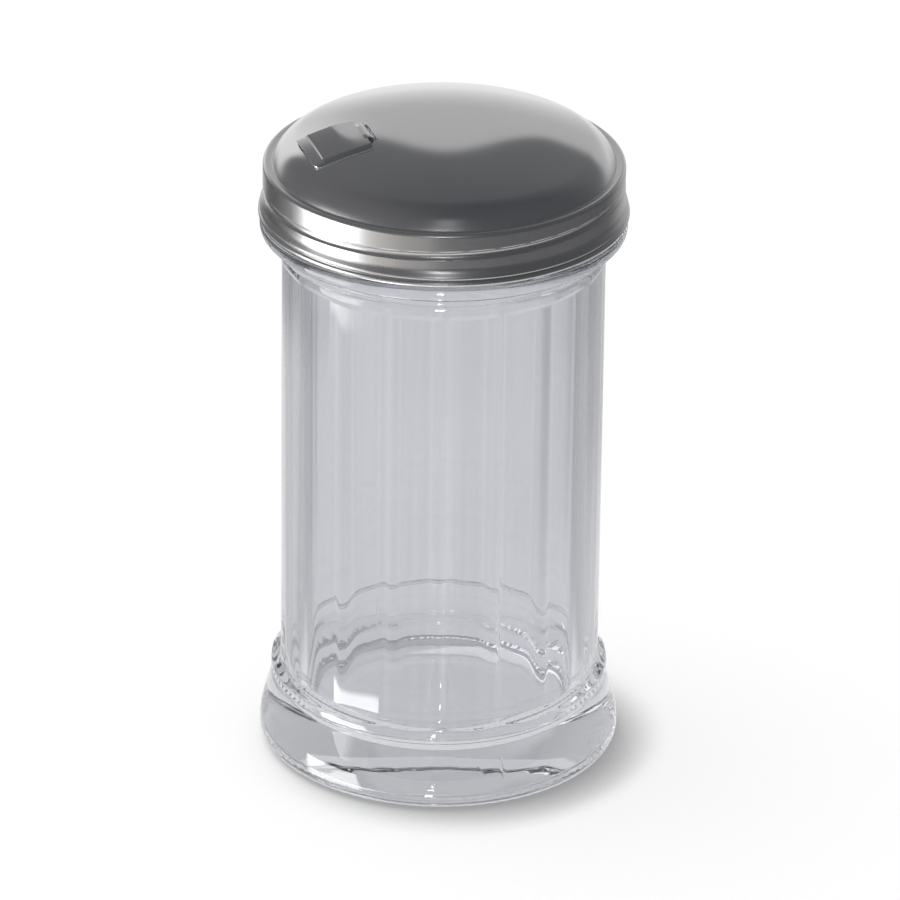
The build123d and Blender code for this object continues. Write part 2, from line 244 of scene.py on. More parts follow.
class Nodes:
    """A node tree, and the one way in which nodes are added to it."""

    def __init__(self, tree):
        self.tree = tree
        self.tree.nodes.clear()

    def add(self, kind, inputs=None, **settings):
        """Add a node: its settings first, then a value or a link for each input named or numbered."""
        node = self.tree.nodes.new(kind)
        for name, setting in settings.items():
            setattr(node, name, setting)
        for name, given in (inputs or {}).items():
            socket = node.inputs[name]
            if isinstance(given, Value):
                given = given.socket
            if isinstance(given, bpy.types.NodeSocket):
                self.tree.links.new(given, socket)
            elif socket.type == "RGBA":
                socket.default_value = (*given, 1.0)
            else:
                socket.default_value = given
        return node

    def first(self, kind, inputs=None, **settings):
        """Add a node and take its first output."""
        return self.add(kind, inputs, **settings).outputs[0]

    def number(self, kind, output, inputs=None, **settings):
        """Add a node and take one of its outputs as a number."""
        return Value(self, self.add(kind, inputs, **settings).outputs[output])

    def parts(self, vector):
        """The x, y and z of a vector."""
        split = self.add("ShaderNodeSeparateXYZ", {0: vector})
        return [Value(self, socket) for socket in split.outputs]

    def vector(self, *parts):
        """A vector from its x, y and z."""
        return self.first("ShaderNodeCombineXYZ", dict(enumerate(parts)))

    def noise(self, place, scale, detail, roughness=0.5):
        """A noise from 0 to 1."""
        inputs = {"Vector": place, "Scale": scale, "Detail": detail, "Roughness": roughness}
        return self.number("ShaderNodeTexNoise", 0, inputs)

    def rays(self, *kinds):
        """For each kind of ray, a number that is 1 for its rays and 0 for others."""
        path = self.add("ShaderNodeLightPath")
        return [Value(self, path.outputs[f"Is {kind} Ray"]) for kind in kinds]

    def bump(self, strength, distance, height):
        return self.first("ShaderNodeBump", {"Strength": strength, "Distance": distance, "Height": height})

    def mix_shader(self, factor, first, second):
        return self.first("ShaderNodeMixShader", {0: factor, 1: first, 2: second})


def maths(operation, *terms, clamp=False):
    """A Math node on values and plain numbers."""
    nodes = next(term.nodes for term in terms if isinstance(term, Value))
    return nodes.number("ShaderNodeMath", 0, dict(enumerate(terms)), operation=operation, use_clamp=clamp)


def larger(first, second):
    return maths("MAXIMUM", first, second)


def past(angles, start, turn=2 * pi):
    """How far an angle lies past the start, from 0 up to one turn."""
    return maths("FLOORED_MODULO", angles - start, turn)


def ramped(value, low, high):
    """0 below low, 1 above high, smooth between. low may be the larger, which turns it round."""
    share_of_way = maths("MULTIPLY", value - low, 1 / (high - low), clamp=True)
    return share_of_way * share_of_way * (3 - 2 * share_of_way)


def between(value, start, full, fading, end):
    """1 from full to fading, 0 before start and after end, smooth between."""
    return ramped(value, start, full) * ramped(value, end, fading)


def mixed(factor, first, second):
    """A colour between two colours."""
    return factor.nodes.add(
        "ShaderNodeMix", {"Factor": factor, 6: first, 7: second}, data_type="RGBA"
    ).outputs[2]


def grey(level):
    return (level, level, level)


def dimmed(shade, level):
    return tuple(level * part for part in shade)


def new_material(name):
    """A material, and its empty node tree."""
    material = bpy.data.materials.new(name)
    material.use_nodes = True
    return material, Nodes(material.node_tree)


def turned_place(nodes, rise):
    """Where a point of a turned piece is: its place, x, y, z, reach, and a place for lines round the piece.

    Lines that are made from the last one run up and down, and rise is how fast they change on the way.
    """
    place = nodes.add("ShaderNodeTexCoord").outputs["Object"]
    x, y, z = nodes.parts(place)
    reach = larger(maths("SQRT", x * x + y * y), 0.1 * MM)
    return place, x, y, z, reach, nodes.vector(x / reach, y / reach, rise * z)


# ------------------------------------------------------------------ meshes
def rounded(outline, turn=radians(9)):
    """Points along an outline of (radius, height, corner, spacing).

    Corners become arcs, and a spacing divides the straight run that follows.
    """
    runs = []
    for index, (radius, height, corner, spacing) in enumerate(outline):
        point = Vector((radius, height))
        if not corner:
            runs.append(([point], spacing))
            continue
        before = (Vector(outline[index - 1][:2]) - point).normalized()
        after = (Vector(outline[index + 1][:2]) - point).normalized()
        half = before.angle(after) / 2
        centre = point + (before + after).normalized() * corner / sin(half)
        start = point + before * corner / tan(half) - centre
        end = point + after * corner / tan(half) - centre
        runs.append(([centre + spoke for spoke in fan(start, end, turn)], spacing))
    points = []
    for (bend, spacing), following in zip(runs, runs[1:] + [None]):
        points += bend
        if spacing and following:
            gap = following[0][0] - bend[-1]
            parts = max(1, ceil(gap.length / spacing))
            points += [bend[-1] + gap * part / parts for part in range(1, parts)]
    least = 0.01 * MM
    return points[:1] + [point for last, point in zip(points, points[1:]) if (point - last).length > least]


def fan(start, end, turn):
    """Spokes of equal length from start round to end."""
    sweep = start.angle(end)
    parts = max(2, ceil(sweep / turn))
    return [
        (start * sin(sweep * (parts - part) / parts) + end * sin(sweep * part / parts)) / sin(sweep)
        for part in range(parts + 1)
    ]


def arc(centre, radius, start, end, turn):
    """Points of an arc; angles are measured from straight up towards the outside."""
    parts = max(2, ceil(abs(end - start) / turn))
    angles = [start + (end - start) * part / parts for part in range(parts + 1)]
    return [centre + Vector((radius * sin(a), radius * cos(a))) for a in angles]


def lathe(name, rows, bearings, marks):
    """A closed turned mesh, from rows that run out from the centre line and back to it.

    The outside is on the rows' right. marks gives one number for each row, which its vertices keep as "mark".
    """
    shape = bmesh.new()
    layer = shape.verts.layers.float.new("mark")
    rings = []
    for (radius, height), mark in zip(rows, marks):
        if radius < 0.001 * MM:
            ring = [shape.verts.new((0, 0, height))] * len(bearings)
        else:
            ring = [shape.verts.new((radius * cos(a), radius * sin(a), height)) for a in bearings]
        for vertex in ring:
            vertex[layer] = mark
        rings.append(ring + ring[:1])
    for low, high in zip(rings, rings[1:]):
        for corners in zip(low, low[1:], high[1:], high):
            shape.faces.new(list(dict.fromkeys(corners)))
    return finished(name, shape)


def bridge(shape, first, second):
    """Faces between two rows of vertices."""
    for corners in zip(first, second, second[1:], first[1:]):
        shape.faces.new(corners)


def close_sheet(shape, top, under):
    """Faces over two grids of vertices and round their edges, all turned outwards."""
    for grid in (top, under):
        for first, second in zip(grid, grid[1:]):
            bridge(shape, first, second)
    for end in (0, -1):
        bridge(shape, top[end], under[end])
        bridge(shape, [row[end] for row in top], [row[end] for row in under])
    bmesh.ops.recalc_face_normals(shape, faces=shape.faces)


def moved(shape, matrix):
    """Move a bmesh, and hand it on."""
    bmesh.ops.transform(shape, matrix=matrix, verts=shape.verts)
    return shape


def finished(name, shape):
    """Turn a bmesh into an object at the origin, shaded smooth."""
    mesh = bpy.data.meshes.new(name)
    shape.to_mesh(mesh)
    shape.free()
    mesh.shade_smooth()
    piece = bpy.data.objects.new(name, mesh)
    bpy.context.scene.collection.objects.link(piece)
    return piece


def plain(piece):
    """Apply what the piece's modifiers make, and drop them."""
    evaluated = piece.evaluated_get(bpy.context.evaluated_depsgraph_get())
    mesh = bpy.data.meshes.new_from_object(evaluated)
    piece.modifiers.clear()
    piece.data = mesh
    mesh.name = piece.name


# ------------------------------------------------------------------ forms made by Geometry Nodes
def label(key):
    """The name of the node input that takes this size."""
    return key.replace("_", " ").title()


def form_tree(name, keys):
    """Start a tree that takes a turned mesh, a number for each key, and a finish."""
    tree = bpy.data.node_groups.new(name, "GeometryNodeTree")
    kinds = {"Mesh": "Geometry", **{label(key): "Float" for key in keys}, "Finish": "Material"}
    for title, kind in kinds.items():
        tree.interface.new_socket(title, in_out="INPUT", socket_type="NodeSocket" + kind)
    tree.interface.new_socket("Mesh", in_out="OUTPUT", socket_type="NodeSocketGeometry")
    nodes = Nodes(tree)
    given = nodes.add("NodeGroupInput").outputs
    return nodes, given, SimpleNamespace(**{key: Value(nodes, given[label(key)]) for key in keys})


def form_output(nodes, given, radius, old_radius, x, y, z):
    """Move every point to its new radius and height, then hand the mesh on with its finish."""
    ratio = radius / larger(old_radius, 0.001 * MM)
    place = nodes.vector(x * ratio, y * ratio, z)
    shape = nodes.first("GeometryNodeSetPosition", {"Geometry": given["Mesh"], "Position": place})
    shape = nodes.first("GeometryNodeRealizeInstances", {0: shape})
    shape = nodes.first("GeometryNodeSetMaterial", {"Geometry": shape, "Material": given["Finish"]})
    nodes.add("NodeGroupOutput", {"Mesh": shape})
    return nodes.tree


def give_form(piece, tree, sizes, finish):
    """Run the tree on a piece with these sizes, and keep the result as its plain mesh."""
    modifier = piece.modifiers.new(tree.name, "NODES")
    modifier.node_group = tree
    given = {label(key): float(size) for key, size in sizes.items()}
    given["Finish"] = finish
    for socket in tree.interface.items_tree:
        if socket.in_out == "INPUT" and socket.name in given:
            modifier[socket.identifier] = given[socket.name]
    piece.data.materials.append(finish)
    plain(piece)


def cylindrical(nodes):
    """The position of a point as x, y, z, radius and bearing, and its mark."""
    x, y, z = nodes.parts(nodes.first("GeometryNodeInputPosition"))
    mark = nodes.number("GeometryNodeInputNamedAttribute", 0, {"Name": "mark"}, data_type="FLOAT")
    return x, y, z, maths("SQRT", x * x + y * y), maths("ARCTAN2", y, x), mark


# ------------------------------------------------------------------ glass
def glass_finish(jar):
    """Pressed soda glass: clear, faintly grey, wavy, with cords of random tone, and with a painted highlight
    that lightens its colour along the panels' edges.
    """
    material, nodes = new_material("pressed_glass")
    place, x, y, z, reach, around = turned_place(nodes, 0.5)
    drawn_out = nodes.first("ShaderNodeMapping", {"Vector": place, "Scale": (1.0, 1.0, 0.35)})
    waves = nodes.noise(drawn_out, 110.0, 2.0, 0.4)
    ripples = nodes.noise(drawn_out, 420.0, 2.0)
    smear = nodes.noise(place, 60.0, 4.0)
    cords = nodes.noise(around, 16.0, 3.0)

    # Painted highlight: the glass's colour is lighter along the panels' edges, where bright lines show; the
    # cords are a random tone of the glass itself.
    pitch = 2 * pi / jar.panels
    off_edge = abs(past(maths("ARCTAN2", y, x), jar.first_panel, pitch) - pitch / 2)
    on_body = ramped(reach, 31.5 * MM, 32.5 * MM) * between(z, 19 * MM, 21 * MM, 109 * MM, 111 * MM)
    edge = ramped(off_edge, radians(2.0), radians(0.4)) * on_body
    cords_and_edge_highlight = maths("ADD", 0.35 + 0.65 * edge, 0.8 * (cords - 0.5), clamp=True)
    looks = {
        "Base Color": mixed(cords_and_edge_highlight, dimmed(jar.tint, 0.965), dimmed(jar.tint, 1.10)),
        "Roughness": 0.03 * ramped(smear, 0.45, 0.75),
        "IOR": 1.5,
        "Transmission Weight": 1.0,
        "Normal": nodes.bump(0.2, 0.1 * MM, waves + 0.03 * ripples),
    }
    glass = nodes.first("ShaderNodeBsdfPrincipled", looks)

    # Light and shadow pass straight through, and so does a ray that has been thrown about for too long.
    clear = nodes.first("ShaderNodeBsdfTransparent", {"Color": (0.86, 0.86, 0.87)})
    most_bounces = 9
    bounces = nodes.number("ShaderNodeLightPath", "Ray Depth")
    shadow, diffuse = nodes.rays("Shadow", "Diffuse")
    straight = larger(larger(shadow, diffuse), maths("GREATER_THAN", bounces, most_bounces))
    depth = nodes.first("ShaderNodeVolumeAbsorption", {"Color": jar.body, "Density": jar.density})
    surface = nodes.mix_shader(straight, glass, clear)
    nodes.add("ShaderNodeOutputMaterial", {"Surface": surface, "Volume": depth})
    return material


PRESSED_SIZES = (
    "panels", "first_panel", "panel_distance", "panel_start", "panel_top", "run_out_slope", "run_out_blend",
    "edge_blend", "inner_depth", "inner_blend", "thread_height", "thread_pitch", "thread_start",
    "thread_bearing", "thread_width", "ticks", "tick_depth", "seam_bearing", "seam_height", "seam_width",
)


def pressed_form():
    """The tree that presses panels, thread, grip marks and the mould's seam into a turned jar.

    A point's mark is 1 on the outside and 0 in the bore.
    """
    nodes, given, size = form_tree("pressed_form", PRESSED_SIZES)
    x, y, z, radius, bearing, outside = cylindrical(nodes)

    pitch = 2 * pi / size.panels
    off_middle = maths("FLOORED_MODULO", bearing - size.first_panel + pitch / 2, pitch) - pitch / 2
    head_slope = 3
    run_out = maths("SMOOTH_MAX", (size.panel_start - z) / size.run_out_slope, 0, size.run_out_blend)
    head = maths("SMOOTH_MAX", (z - size.panel_top) * head_slope, 0, size.run_out_blend / head_slope)
    flat = (size.panel_distance + run_out + head) / maths("COSINE", off_middle)
    pressed = maths("SMOOTH_MIN", radius, flat, size.edge_blend)
    inner_flat = (radius - size.inner_depth) / maths("COSINE", off_middle)
    followed = maths("SMOOTH_MIN", radius, inner_flat, size.inner_blend)
    bore = radius + between(z, 20 * MM, 27 * MM, 109 * MM, 114 * MM) * (followed - radius)

    lead = 0.4
    round_thread = past(bearing, size.thread_bearing)
    thread_height = size.thread_start + size.thread_pitch * round_thread / (2 * pi)
    across = (z - thread_height) / size.thread_width
    ends = between(round_thread, 0, lead, 2 * pi - lead, 2 * pi)
    pressed = pressed + size.thread_height * ends * maths("EXPONENT", -1 * across * across)

    beside_seam = past(bearing + pi / 2, size.seam_bearing, pi) - pi / 2
    seam = beside_seam * radius / size.seam_width
    seam_ends = between(z, 0.5 * MM, 2.5 * MM, 117 * MM, 119 * MM)
    pressed = pressed + size.seam_height * seam_ends * maths("EXPONENT", -1 * seam * seam)

    ticks = 0.5 - 0.5 * maths("COSINE", size.ticks * (bearing - size.first_panel))
    near_table = ramped(z, 1.3 * MM, 0.0) * ramped(radius, 31.2 * MM, 32.2 * MM)
    lifted = z + outside * size.tick_depth * ticks * near_table
    return form_output(nodes, given, bore + outside * (pressed - bore), radius, x, y, lifted)


def panel_bearings(jar):
    """Bearings of the columns: more of them on the panels' edges, and a few beside each seam."""
    half_flat = degrees(asin(sqrt(1 - (jar.panel_distance / jar.body_radius) ** 2)))
    pitch = 360 / jar.panels
    on_flat, on_edge = 25, 5
    bearings = []
    for panel in range(jar.panels):
        middle = degrees(jar.first_panel) + panel * pitch
        bearings += [middle - half_flat + 2 * half_flat * step / on_flat for step in range(on_flat)]
        edge = pitch - 2 * half_flat
        bearings += [middle + half_flat + edge * step / on_edge for step in range(on_edge)]
    for seam in (degrees(jar.seam_bearing), degrees(jar.seam_bearing) - 180):
        bearings += [seam + offset for offset in (-0.3, -0.15, 0.0, 0.15, 0.3)]
    turned = sorted(bearing % 360 for bearing in bearings)
    least = 0.04
    return [radians(b) for b, last in zip(turned, [turned[-1] - 360] + turned) if b - last > least]


def jar_outline(jar):
    """Outline from the middle of the base, up the outside, over the lip and down the bore to its floor."""
    fine = 0.4 * MM
    return [
        (0, jar.push_up, 0, 8 * MM),
        (jar.bearing_radius - 1.2 * MM, 1.2 * MM, 1.0 * MM, 0.5 * MM),
        (jar.bearing_radius, 0, 0.8 * MM, 0.5 * MM),
        (jar.foot_radius, 0, jar.foot_corner, 2 * MM),
        (jar.foot_radius, jar.foot_skirt, jar.foot_shoulder, 2 * MM),
        (jar.crease_radius, jar.crease_height, 0.25 * MM, 2 * MM),
        (jar.ring_radius, jar.ring_height, 0.5 * MM, 0.5 * MM),
        (jar.ring_radius, jar.ring_top, 1.5 * MM, 0.4 * MM),
        (jar.body_radius, jar.body_start, 0.35 * MM, 0.3 * MM),
        (jar.body_radius, jar.body_start + 2 * MM, 0, 30 * MM),
        (jar.body_radius, jar.body_top - 3.5 * MM, 0, fine),
        (jar.body_radius, jar.body_top, 1.3 * MM, fine),
        (jar.neck_radius, jar.body_top + 0.6 * MM, 0.5 * MM, fine),
        (jar.neck_radius, jar.collar_low - 0.6 * MM, 0.6 * MM, 1 * MM),
        (jar.collar_radius, jar.collar_low, 1.2 * MM, 1 * MM),
        (jar.collar_radius, jar.collar_high, 1.2 * MM, 1 * MM),
        (jar.finish_radius, jar.collar_high, 0.3 * MM, 2 * MM),
        (jar.finish_radius, jar.collar_high + 3 * MM, 0, 0.36 * MM),
        (jar.finish_radius, jar.lip_height, 0.6 * MM, 1 * MM),
        (jar.mouth_radius, jar.lip_height, 1.3 * MM, 1.5 * MM),
        (jar.bore_radius, jar.floor_height, jar.floor_corner, 8 * MM),
        (0, jar.floor_height, 0, 0),
    ]


class DISPENSER_OT_glass_jar(bpy.types.Operator):
    """Press the glass jar with its foot, panels, transfer ring and thread"""

    bl_idname = "dispenser.glass_jar"
    bl_label = "Glass Jar"

    def execute(self, context):
        jar = context.scene.dispenser_jar
        rows = rounded(jar_outline(jar))
        top = max(range(len(rows)), key=lambda index: rows[index].y)
        marks = [1.0 if index <= top else 0.0 for index in range(len(rows))]
        piece = lathe("pressed_jar", rows, panel_bearings(jar), marks)
        sizes = {key: getattr(jar, key) for key in PRESSED_SIZES}
        give_form(piece, pressed_form(), sizes, glass_finish(jar))
        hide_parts("glass_jar")
        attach(piece, "jar")
        return {"FINISHED"}


# ------------------------------------------------------------------ steel
def steel_finish(name, steel, gloss, grain):
    """Drawn and polished steel: fine lines down the sides, rubbed marks, and duller, lighter edges where it
    is cut, whose light colour is partly real matte steel and partly a painted highlight; where the cut mark
    is set on a crest it paints a highlight.

    gloss is the roughness of the top, and grain is how strong the marks of the drawing are.
    """
    material, nodes = new_material(name)
    place, _, _, _, reach, around = turned_place(nodes, 2.0)
    lines = nodes.noise(around, 130.0, 3.0, 0.6)
    fine_lines = nodes.noise(around, 340.0, 2.0, 0.6)
    rubbed = nodes.noise(place, 45.0, 5.0, 0.6)
    # The cut mark: on cut edges, lighter and duller steel that is partly real and partly a painted highlight;
    # on the flap's crest, a painted highlight alone.
    cut = nodes.number("ShaderNodeAttribute", "Fac", attribute_name="cut")
    rim = ramped(reach, 31 * MM, 36 * MM)
    side = ramped(reach, 34.8 * MM, 36.5 * MM)
    drawn = side * (lines - 0.5) + 0.5 * side * (fine_lines - 0.5)
    dulled = grain * (0.17 * rim + 0.1 * side * (lines - 0.5))
    shade = mixed(ramped(rubbed, 0.3, 0.8), dimmed(steel, 0.96), steel)
    looks = {
        "Base Color": mixed(cut, shade, (0.85, 0.85, 0.86)),
        "Metallic": 1 - 0.7 * cut,
        "Roughness": gloss + 0.05 * (rubbed - 0.5) + dulled + 0.25 * cut,
        "Normal": nodes.bump(0.06, 0.006 * MM * grain, drawn + 0.3 * rubbed),
    }
    nodes.add("ShaderNodeOutputMaterial", {"Surface": nodes.first("ShaderNodeBsdfPrincipled", looks)})
    return material


def knuckle_centre(lid):
    """Centre of the arc that turns the dome down to the crease."""
    inwards = lid.knuckle_radius * sin(lid.crease_slope)
    down = lid.knuckle_radius * cos(lid.crease_slope)
    return Vector((lid.dome_radius - inwards, lid.dome_height - down))


def crown_height(lid):
    """Height of the dome's centre."""
    knuckle = knuckle_centre(lid)
    return knuckle.y - sqrt((lid.crown_radius - lid.knuckle_radius) ** 2 - knuckle.x**2)


def lid_outer_line(lid):
    """Outer face of the lid from the centre line out and down to where it runs into the curl."""
    knuckle = knuckle_centre(lid)
    crown_end = asin(knuckle.x / (lid.crown_radius - lid.knuckle_radius))
    line = arc(Vector((0, crown_height(lid))), lid.crown_radius, 0, crown_end, radians(0.9))
    line += arc(knuckle, lid.knuckle_radius, crown_end, lid.crease_slope - radians(1.5), radians(3.5))[1:]
    fine = 0.14 * MM
    on_curl = Vector((lid.curl_radius + 0.107 * MM, lid.curl_height + 0.641 * MM))
    skirt = [
        (*line[-1], 0, 0),
        (lid.dome_radius, lid.dome_height, 0.18 * MM, 0.3 * MM),
        (lid.band_radius, lid.dome_height + lid.shoulder_rise, 0.8 * MM, fine),
        (lid.band_radius, lid.band_low, 2.0 * MM, fine),
        (lid.flare_radius, lid.flare_height, 0.7 * MM, fine),
        (*on_curl, 0, 0),
    ]
    return line + rounded(skirt, radians(10))[1:]


def inset(line, distance):
    """The line moved inwards by the sheet's thickness."""
    inner = []
    for point, before, after in zip(line, line[:1] + line, line[1:] + line[-1:]):
        along = (after - before).normalized()
        inner.append(point + Vector((-along.y, along.x)) * -distance)
    inner[0].x = 0
    return inner


def lid_rows(lid):
    """Rows of the lid from the inner face's middle, round the curl, to the outer face's middle, and marks."""
    outer = lid_outer_line(lid)
    inner = inset([point for point in outer if point.y > lid.flare_height + 0.4 * MM], lid.sheet)
    curl = Vector((lid.curl_radius, lid.curl_height))
    bead = arc(curl, lid.curl_wire, radians(-67), radians(-350.5), radians(12))
    outer = outer[-2::-1]
    marks = [lid.roll_tool + lid.sheet] * len(inner) + [0.0] * len(bead) + [lid.roll_tool] * len(outer)
    return inner + bead + outer, marks


def rolled_form(keys):
    """The tree that rolls the thread into the band; a point's mark is the radius of the rim that rolls it."""
    nodes, given, size = form_tree("rolled_form", keys)
    x, y, z, radius, bearing, rim = cylindrical(nodes)
    lead = radians(15)
    along = past(bearing + lead, size.roll_bearing) - lead
    beyond = larger(larger(0 - along, along - size.roll_turn), 0)
    full = maths("MINIMUM", larger(along, 0), size.roll_turn)
    off = z - size.roll_height - size.roll_pitch * full / (2 * pi)
    chord = maths("SQRT", larger(rim * rim - off * off, 0))
    rolled = maths("SMOOTH_MIN", radius, size.roll_reach / maths("COSINE", beyond) - chord, size.roll_blend)
    touched = maths("GREATER_THAN", rim, abs(off))
    return form_output(nodes, given, radius + touched * (rolled - radius), radius, x, y, z)


def on_dome(lid, reach):
    """Frame on the dome's centre: its z runs out through the dome at this reach, its x to the spout side."""
    lean = asin(reach / lid.crown_radius)
    turn = Matrix(((-cos(lean), 0, -sin(lean)), (0, -1, 0), (-sin(lean), 0, cos(lean))))
    return Matrix.Translation((0, 0, crown_height(lid))) @ turn.transposed().to_4x4()


def hinge_height(lid):
    """Distance of the hinge bar from the dome's centre."""
    return sqrt((lid.crown_radius - lid.sheet / 2) ** 2 - (lid.slot_length / 2) ** 2)


def rounded_block(size, centre, corner, steps=6):
    """A closed block whose four upright edges are rounded, as a bmesh."""
    shape = bmesh.new()
    quarter = pi / 2
    plan = []
    for quadrant, (right, back) in enumerate(((1, 1), (-1, 1), (-1, -1), (1, -1))):
        middle = Vector((right * (size[0] / 2 - corner), back * (size[1] / 2 - corner)))
        for step in range(steps + 1):
            turned = quadrant * quarter + step * quarter / steps
            plan.append(middle + corner * Vector((cos(turned), sin(turned))))
    low, high = (
        [shape.verts.new((centre[0] + p.x, centre[1] + p.y, centre[2] + side * size[2] / 2)) for p in plan]
        for side in (-1, 1)
    )
    bridge(shape, low + low[:1], high + high[:1])
    shape.faces.new(low)
    shape.faces.new(high)
    bmesh.ops.recalc_face_normals(shape, faces=shape.faces)
    return shape


def punch(piece, block):
    """Cut a block out of a piece."""
    tool = finished("punch", block)
    cut = piece.modifiers.new("punch", "BOOLEAN")
    cut.operation = "DIFFERENCE"
    cut.solver = "EXACT"
    cut.object = tool
    plain(piece)
    bpy.data.objects.remove(tool)


class DISPENSER_OT_screw_lid(bpy.types.Operator):
    """Draw the steel lid, roll its thread, curl its edge and punch the pour hole"""

    bl_idname = "dispenser.screw_lid"
    bl_label = "Screw Lid"

    def execute(self, context):
        lid = context.scene.dispenser_lid
        hinge = on_dome(lid, context.scene.dispenser_flap.hinge_reach)
        steel = steel_finish("drawn_steel", lid.steel, 0.12, 1.0)
        rows, marks = lid_rows(lid)
        piece = lathe("steel_lid", rows, [radians(step) for step in range(360)], marks)
        keys = ("roll_pitch", "roll_turn", "roll_bearing", "roll_height", "roll_blend")
        sizes = {key: getattr(lid, key) for key in keys}
        sizes["roll_reach"] = lid.band_radius + lid.roll_tool - lid.roll_depth
        give_form(piece, rolled_form(sizes), sizes, steel)

        window_length = lid.slot_width + lid.bar_width + lid.sheet
        window_middle = window_length / 2 - lid.bar_width / 2 - lid.slot_width
        hole_middle = lid.bar_width / 2 + lid.hole_length / 2
        through = 8 * MM
        for outwards, width, middle, corner in (
            (lid.hole_length, lid.hole_width, hole_middle, lid.hole_corner),
            (window_length, lid.slot_length, window_middle, 0.15 * MM),
        ):
            block = rounded_block((outwards, width, through), (middle, 0, lid.crown_radius), corner)
            punch(piece, moved(block, hinge))
        piece.data.set_sharp_from_angle(angle=radians(42))
        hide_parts("screw_lid")
        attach(piece, "lid")

        bar = rounded_block((lid.bar_width, lid.sheet, lid.slot_length + 1 * MM), (0, 0, 0), 0.15 * MM, 3)
        stand = Matrix.Translation((0, 0, hinge_height(lid))) @ Matrix.Rotation(radians(90), 4, "X")
        bar = finished("hinge_bar", moved(bar, hinge @ stand))
        bar.data.materials.append(steel)
        bar.data.set_sharp_from_angle(angle=radians(42))
        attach(bar, "lid")
        return {"FINISHED"}


# ------------------------------------------------------------------ pour flap
def soft_min(first, second, blend):
    """The smaller of two numbers, rounded where they meet."""
    near = max(blend - abs(first - second), 0) / blend
    return min(first, second) - near**3 * blend / 6


def smooth_step(way):
    """0 up to 0, 1 from 1 on, smooth between."""
    way = min(max(way, 0), 1)
    return way * way * (3 - 2 * way)


def flap_span(flap, lid):
    """Angles on the dome of the flap's hinge, its tip and its middle."""
    hinge, tip = asin(flap.hinge_reach / lid.crown_radius), asin(flap.tip_reach / lid.crown_radius)
    return hinge, tip, (hinge + tip) / 2


def flap_top(flap, lid, along, across):
    """Height of the flap's upper face over the dome's centre, at a place in the frame of its middle."""
    plate = lid.crown_radius + flap.plate_gap + flap.sheet
    reach = lid.crown_radius * sin(flap_span(flap, lid)[2] + asin(along / plate))
    step_end = flap.tip_reach - flap.lip
    rise = smooth_step((reach - flap.hinge_reach - flap.field_start) / flap.field_slope)
    fall = smooth_step((step_end - reach) / flap.field_step)
    field = min(rise, fall)
    level = sqrt((plate + flap.raise_height * field) ** 2 - along**2 - across**2)
    lip_lean = 0.45
    lean = field if reach < step_end else lip_lean
    level -= across * tan(flap.field_lean) * lean
    half_width = flap.width / 2
    eaves = sqrt((lid.crown_radius + flap.rest) ** 2 - half_width**2 - along**2)
    flank = eaves + (half_width - abs(across)) * tan(flap.flank_slope)
    return soft_min(level, flank, 0.3 * MM)


def flap_half_width(flap, start, end, along, near_side):
    """Half the plate's width, less at a rounded corner. At the hinge the two corners differ."""
    half = flap.width / 2
    width = half
    heel = flap.heel_corner if near_side else flap.trimmed_corner
    for corner, depth in ((heel, along - start), (flap.tip_corner, end - along)):
        if depth < corner:
            width = min(width, half - corner + sqrt(max(corner**2 - (corner - depth) ** 2, 0)))
    return width


def flap_stations(flap, start, end):
    """Distances of the plate's rows, closer together at its rounded corners."""
    rows = 84
    stations = [start + (end - start) * row / rows for row in range(rows + 1)]
    for corner, edge, inward in (
        (flap.heel_corner, start, 1), (flap.trimmed_corner, start, 1), (flap.tip_corner, end, -1)
    ):
        stations += [edge + inward * corner * (1 - cos(radians(turn))) for turn in range(0, 90, 9)]
    stations = sorted(set(round(station, 8) for station in stations))
    return stations[:1] + [s for last, s in zip(stations, stations[1:]) if s - last > 0.01 * MM]


def flap_plate(flap, lid):
    """The flap's plate as a closed shell with rounded corners, in the frame of its middle."""
    hinge, tip, middle = flap_span(flap, lid)
    plate = lid.crown_radius + flap.plate_gap
    start = plate * sin(hinge - middle) + flap.heel
    end = plate * sin(tip - middle)
    stations = flap_stations(flap, start, end)
    # The lanes across the plate crowd together towards its sides.
    half, crowding = 30, 0.55
    lanes = [
        crowding * sin(lane * pi / 2 / half) + (1 - crowding) * lane / half for lane in range(-half, half + 1)
    ]
    # A painted highlight lightens the crest of the field, apart from its ends.
    crest_reach = flap.tip_reach - flap.lip - 0.4 * flap.field_step
    crest = plate * sin(asin(crest_reach / lid.crown_radius) - middle)
    crest_width, crest_share, crest_highlight = 0.15 * MM, 0.8, 0.55
    probe = 0.02 * MM
    steepest = 0.7

    shape = bmesh.new()
    cut = shape.verts.layers.float.new("cut")
    upper = []
    lower = []
    for along in stations:
        upper.append([])
        lower.append([])
        for lane in lanes:
            across = lane * flap_half_width(flap, start, end, along, lane > 0)
            point = Vector((along, across, flap_top(flap, lid, along, across)))
            slopes = [
                (flap_top(flap, lid, along - x, across - y) - flap_top(flap, lid, along + x, across + y)) / 2
                for x, y in ((probe, 0), (0, probe))
            ]
            normal = Vector((*slopes, probe)).normalized()
            on_edge = lane in (lanes[0], lanes[-1]) or along in (stations[0], stations[-1])
            drop = Vector((0, 0, flap.sheet / max(normal.z, steepest))) if on_edge else normal * flap.sheet
            upper[-1].append(shape.verts.new(point))
            lower[-1].append(shape.verts.new(point - drop))
            # The crest's painted highlight and the cut edges both go into the cut mark; on the edges it is
            # partly real duller steel and partly a painted highlight.
            on_crest_highlight = abs(along - crest) < crest_width and abs(lane) < crest_share
            upper[-1][-1][cut] = crest_highlight if on_crest_highlight else 0.0
            lower[-1][-1][cut] = 1.0 if on_edge else 0.0
    close_sheet(shape, upper, lower)
    return moved(shape, on_dome(lid, lid.crown_radius * sin(middle)))


